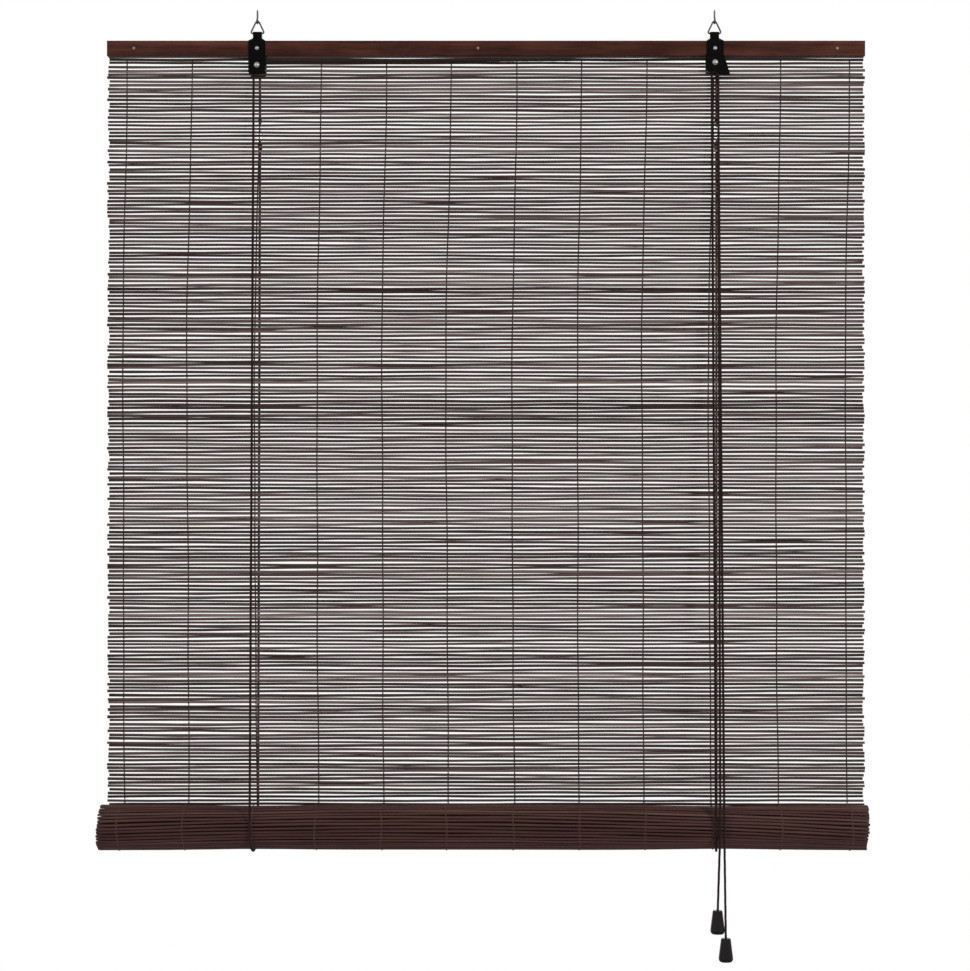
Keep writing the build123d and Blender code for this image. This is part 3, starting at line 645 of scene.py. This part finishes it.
# Cords: three strands laid round each other
def make_rope(name, path, body, node):
    """A rope along a path; without a body, it is left for the caller to place."""
    dense = resample(path, STRAND_LAY / STRAND_STEPS)
    verts, faces = [], []
    around = frames_along(dense)
    for strand in range(3):
        points = []
        for i, (point, (_, side, up)) in enumerate(zip(dense, around)):
            turn = TAU * (i / STRAND_STEPS + strand / 3)
            points.append(point + (side * math.cos(turn) + up * math.sin(turn)) * STRAND_OFFSET)
        add_tube(verts, faces, points, [STRAND_RADIUS] * len(points), 5)
    return dress(make_object(name, verts, faces), CORD, node, body)


def make_knot(name, centre, dia, height, body, node):
    """An overhand knot: a rope pulled into a small lumpy ball, with a core that fills it."""
    centre = Vector(centre)
    rope_radius = 1.0 * MM
    reach = dia / 2 - 0.9 * MM
    rise = height / 2 - rope_radius
    steps = 60
    points = []
    for i in range(steps + 1):
        t = TAU * i / steps
        x = (math.sin(t) + 2 * math.sin(2 * t)) / 3
        y = (math.cos(t) - 2 * math.cos(2 * t)) / 3
        z = -math.sin(3 * t)
        points.append(centre + Vector((x * reach, y * reach, z * rise)))
    core = [centre + Vector((0, 0, dz)) for dz in (-height * 0.3, 0, height * 0.3)]
    verts, faces = [], []
    add_tube(verts, faces, points, [rope_radius] * len(points), 8)
    add_tube(verts, faces, core, [1.1 * MM, 1.5 * MM, 1.1 * MM], 8)
    return dress(make_object(name, verts, faces), CORD, node, body)


def squash_up(piece):
    """Gives a hanging piece its own copy of its mesh."""
    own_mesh(piece)


tilt = math.degrees(math.atan2(RIGHT_AXLE_Z - LEFT_AXLE_Z, 2 * AXLE_X))
left_groove = (-AXLE_X, GROOVE_1_Y, LEFT_AXLE_Z)
right_groove = (AXLE_X, GROOVE_1_Y, RIGHT_AXLE_Z)
cross_path = arc_points(left_groove, PULLEY_CORD_RADIUS, 180, -90 + tilt)
cross_path += arc_points(right_groove, PULLEY_CORD_RADIUS, 90 + tilt, -90 - tilt)
cross_path.append(Vector((LOCK_X, GROOVE_1_Y, LOCK_Z)))
make_rope("cross_cord_rope", cross_path, "rail", "cross_cord")
head_path = arc_points((AXLE_X, GROOVE_2_Y, RIGHT_AXLE_Z), PULLEY_CORD_RADIUS, 180, -180)
head_path.append(Vector((LOCK_X, GROOVE_2_Y, LOCK_Z)))
make_rope("lift_cord_head_rope", head_path, "rail", "lift_cord_head")

squash_up(mat_sticks)
squash_up(warp_threads)

# Lift cords: down the front, under the roll in a sling, and up the back to the clip
front_y = ROLL_Y - SLING_RADIUS
back_y = ROLL_Y + SLING_RADIUS
LIFT_CORDS = (
    ("left", -AXLE_X, LEFT_AXLE_Z, GROOVE_1_Y, LEFT_BACK_X),
    ("right", AXLE_X, RIGHT_AXLE_Z, GROOVE_2_Y, AXLE_X + ANCHOR_RADIUS),
)
for side, axle_x, axle_z, groove_y, back_x in LIFT_CORDS:
    front_x = axle_x - PULLEY_CORD_RADIUS
    front_path = [Vector((front_x, groove_y, axle_z)), Vector((front_x, front_y, ROLL_Z))]
    front = make_rope("front_rope_" + side, front_path, "rail", "front_cord_" + side)
    squash_up(front)

    middle = ((front_x + back_x) / 2, ROLL_Y, ROLL_Z)
    across = Vector((back_x - front_x, back_y - front_y, 0))
    half = across.length / 2
    up = (0, 0, 1 - SLING_RISE / half)
    sling_path = arc_points(middle, half, 180, 180, across.normalized(), up, 48)
    make_rope("sling_rope_" + side, sling_path, "slings", "sling_" + side)

    hang_x = axle_x + ANCHOR_RADIUS
    wrap_centre = (axle_x, CLIP_Y, axle_z)
    anchor_path = arc_points(wrap_centre, ANCHOR_RADIUS, ANCHOR_WRAP_TURN, -ANCHOR_WRAP_TURN)
    anchor_path.append(Vector((hang_x, CLIP_Y, CLIP_TOP_Z - CORD_TAIL)))
    anchor_node = "anchor_cord_" + side
    make_rope("anchor_rope_" + side, anchor_path, "rail", anchor_node)
    upper_knot = (hang_x, CLIP_Y, CLIP_TOP_Z + KNOT_GAP + KNOT_HEIGHT / 2)
    make_knot("anchor_knot_" + side, upper_knot, KNOT_DIA, KNOT_HEIGHT, "rail", anchor_node)

    back_node = "back_cord_" + side
    lower_knot = (hang_x, CLIP_Y, CLIP_BOTTOM_Z - KNOT_GAP - LOW_KNOT_HEIGHT / 2)
    make_knot("clip_knot_" + side, lower_knot, LOW_KNOT_DIA, LOW_KNOT_HEIGHT, "rail", back_node)
    tail_top = Vector((hang_x, CLIP_Y, CLIP_BOTTOM_Z + CORD_TAIL))
    stretch_top = Vector((hang_x, CLIP_Y, CLIP_BOTTOM_Z - KNOT_HEIGHT))
    make_rope("clip_tail_" + side, [tail_top, stretch_top], "rail", back_node)
    back_path = [stretch_top, Vector((back_x, back_y, ROLL_Z))]
    back = make_rope("back_rope_" + side, back_path, "rail", back_node)
    squash_up(back)

# Pull cords: upper stretches from the lock to the roll, lower stretches to the bells
for number, groove_y in enumerate((GROOVE_1_Y, GROOVE_2_Y)):
    label = "pull_cord_%d" % (number + 1)
    upper_route = [
        (LOCK_X, groove_y, LOCK_Z - JOINT_GAP),
        (PULL_X[number], PULL_Y, ROLL_Z + PULL_BEND_RISE),
        (PULL_X[number], PULL_Y, ROLL_Z),
    ]
    upper_path = spline_points(label + "_upper", upper_route)
    upper = make_rope(label + "_upper_rope", upper_path, "rail", label + "_upper")
    squash_up(upper)

    bell_top = (BELL_X[number], BELL_Y[number], BELL_TOP_Z[number])
    knot_z = bell_top[2] - BELL_CROWN - KNOT_GAP - BELL_KNOT_DIA / 2
    lower_end = Vector((bell_top[0], bell_top[1], knot_z))
    lower_path = [Vector((PULL_X[number], PULL_Y, ROLL_Z)), lower_end]
    lower = make_rope(label + "_lower_rope", lower_path, None, label + "_lower")
    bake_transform(lower)
    knot_node = label + "_lower"
    knot = make_knot(label + "_knot", lower_end, BELL_KNOT_DIA, BELL_KNOT_DIA, "pulls", knot_node)


# Screw threads on the hooks' shanks, running out at the points
THREAD_PITCH = 1.15 * MM
THREAD_BOTTOM_Z = -0.2 * MM
THREAD_TOP_Z = 8.8 * MM
THREAD_TURNS = 7.3
THREAD_STEPS = 16
THREAD_RIDGE = 0.24 * MM
POINT_LENGTH = 2.6 * MM
for side, x in (("left", -AXLE_X), ("right", AXLE_X)):
    points = []
    radii = []
    for i in range(int(THREAD_TURNS * THREAD_STEPS) + 1):
        angle = TAU * i / THREAD_STEPS
        z = THREAD_BOTTOM_Z + THREAD_PITCH * i / THREAD_STEPS
        taper = min(1.0, max(0.2, (THREAD_TOP_Z - z) / POINT_LENGTH))
        radius = WIRE_RADIUS * taper
        points.append(Vector((x + radius * math.cos(angle), radius * math.sin(angle), z)))
        radii.append(THREAD_RIDGE * (0.55 + 0.45 * taper))
    verts, faces = [], []
    add_tube(verts, faces, points, radii, 6)
    dress(make_object("hook_thread_" + side, verts, faces), THREAD_HIGHLIGHT_METAL, body="root")


# Light
BLIND_MIDDLE = Vector((0.0, 0.0, -0.55))


def area_light(name, place, size, power):
    """A square lamp that faces the middle of the blind."""
    lamp = bpy.data.lights.new(name, "AREA")
    lamp.shape = "RECTANGLE"
    lamp.size = lamp.size_y = size
    lamp.energy = power
    holder = bpy.data.objects.new(name, lamp)
    holder.location = place
    aim = BLIND_MIDDLE - Vector(place)
    holder.rotation_euler = aim.to_track_quat("-Z", "Y").to_euler()
    scene.collection.objects.link(holder)


area_light("key", (2.1, -2.4, 0.4), 0.6, 44)
area_light("fill", (-2.0, -2.4, 0.1), 1.8, 20)
area_light("rear", (0.4, 2.4, 0.6), 2.0, 20)

# World: white to the camera, in reflections and through clear pieces, softer as a light
SOFT_STRENGTH = 0.42
world = bpy.data.worlds.new("pale_room")
scene.world = world
world.use_nodes = True
tree = world.node_tree
tree.nodes.clear()
output = tree.nodes.new("ShaderNodeOutputWorld")
mix = tree.nodes.new("ShaderNodeMixShader")
for socket, strength in ((1, SOFT_STRENGTH), (2, 1.0)):
    background = tree.nodes.new("ShaderNodeBackground")
    background.inputs["Color"].default_value = (1, 1, 1, 1)
    background.inputs["Strength"].default_value = strength
    tree.links.new(background.outputs["Background"], mix.inputs[socket])
rays = tree.nodes.new("ShaderNodeLightPath")
seen = rays.outputs["Is Camera Ray"]
for ray in ("Is Glossy Ray", "Is Transmission Ray"):
    either = tree.nodes.new("ShaderNodeMath")
    either.operation = "MAXIMUM"
    tree.links.new(seen, either.inputs[0])
    tree.links.new(rays.outputs[ray], either.inputs[1])
    seen = either.outputs["Value"]
tree.links.new(seen, mix.inputs["Fac"])
tree.links.new(mix.outputs["Shader"], output.inputs["Surface"])

# Floor: far below, and kept pale to the camera by a share of its own glow
FLOOR_Z = -2.75
FLOOR_REACH = 6.0
FLOOR_GLOW = 0.6
floor_mesh = bpy.data.meshes.new("floor")
floor_corners = [
    (x * FLOOR_REACH, y * FLOOR_REACH, FLOOR_Z) for x, y in ((-1, -1), (1, -1), (1, 1), (-1, 1))
]
floor_mesh.from_pydata(floor_corners, [], [(0, 1, 2, 3)])
floor = bpy.data.objects.new("floor", floor_mesh)
scene.collection.objects.link(floor)
floor_material, tree, shader = node_material("floor_pale")
shader.inputs["Base Color"].default_value = (0.86, 0.86, 0.86, 1)
shader.inputs["Roughness"].default_value = 0.9
glow = tree.nodes.new("ShaderNodeEmission")
glow.inputs["Color"].default_value = (0.9, 0.9, 0.9, 1)
rays = tree.nodes.new("ShaderNodeLightPath")
share = tree.nodes.new("ShaderNodeMath")
share.operation = "MULTIPLY"
share.inputs[1].default_value = FLOOR_GLOW
mix = tree.nodes.new("ShaderNodeMixShader")
tree.links.new(rays.outputs["Is Camera Ray"], share.inputs[0])
tree.links.new(share.outputs["Value"], mix.inputs["Fac"])
tree.links.new(shader.outputs["BSDF"], mix.inputs[1])
tree.links.new(glow.outputs["Emission"], mix.inputs[2])
tree.links.new(mix.outputs["Shader"], tree.nodes["Material Output"].inputs["Surface"])
floor_mesh.materials.append(floor_material)

# Camera: straight in front, level with the middle of the blind
camera_data = bpy.data.cameras.new("camera")
camera_data.lens = 85.33
camera_data.sensor_width = 36.0
camera_data.clip_end = 30.0
camera = bpy.data.objects.new("camera", camera_data)
camera.location = (-1.2 * MM, -2.740, -0.5575)
camera.rotation_euler = (math.radians(90), 0, 0)
scene.collection.objects.link(camera)
scene.camera = camera
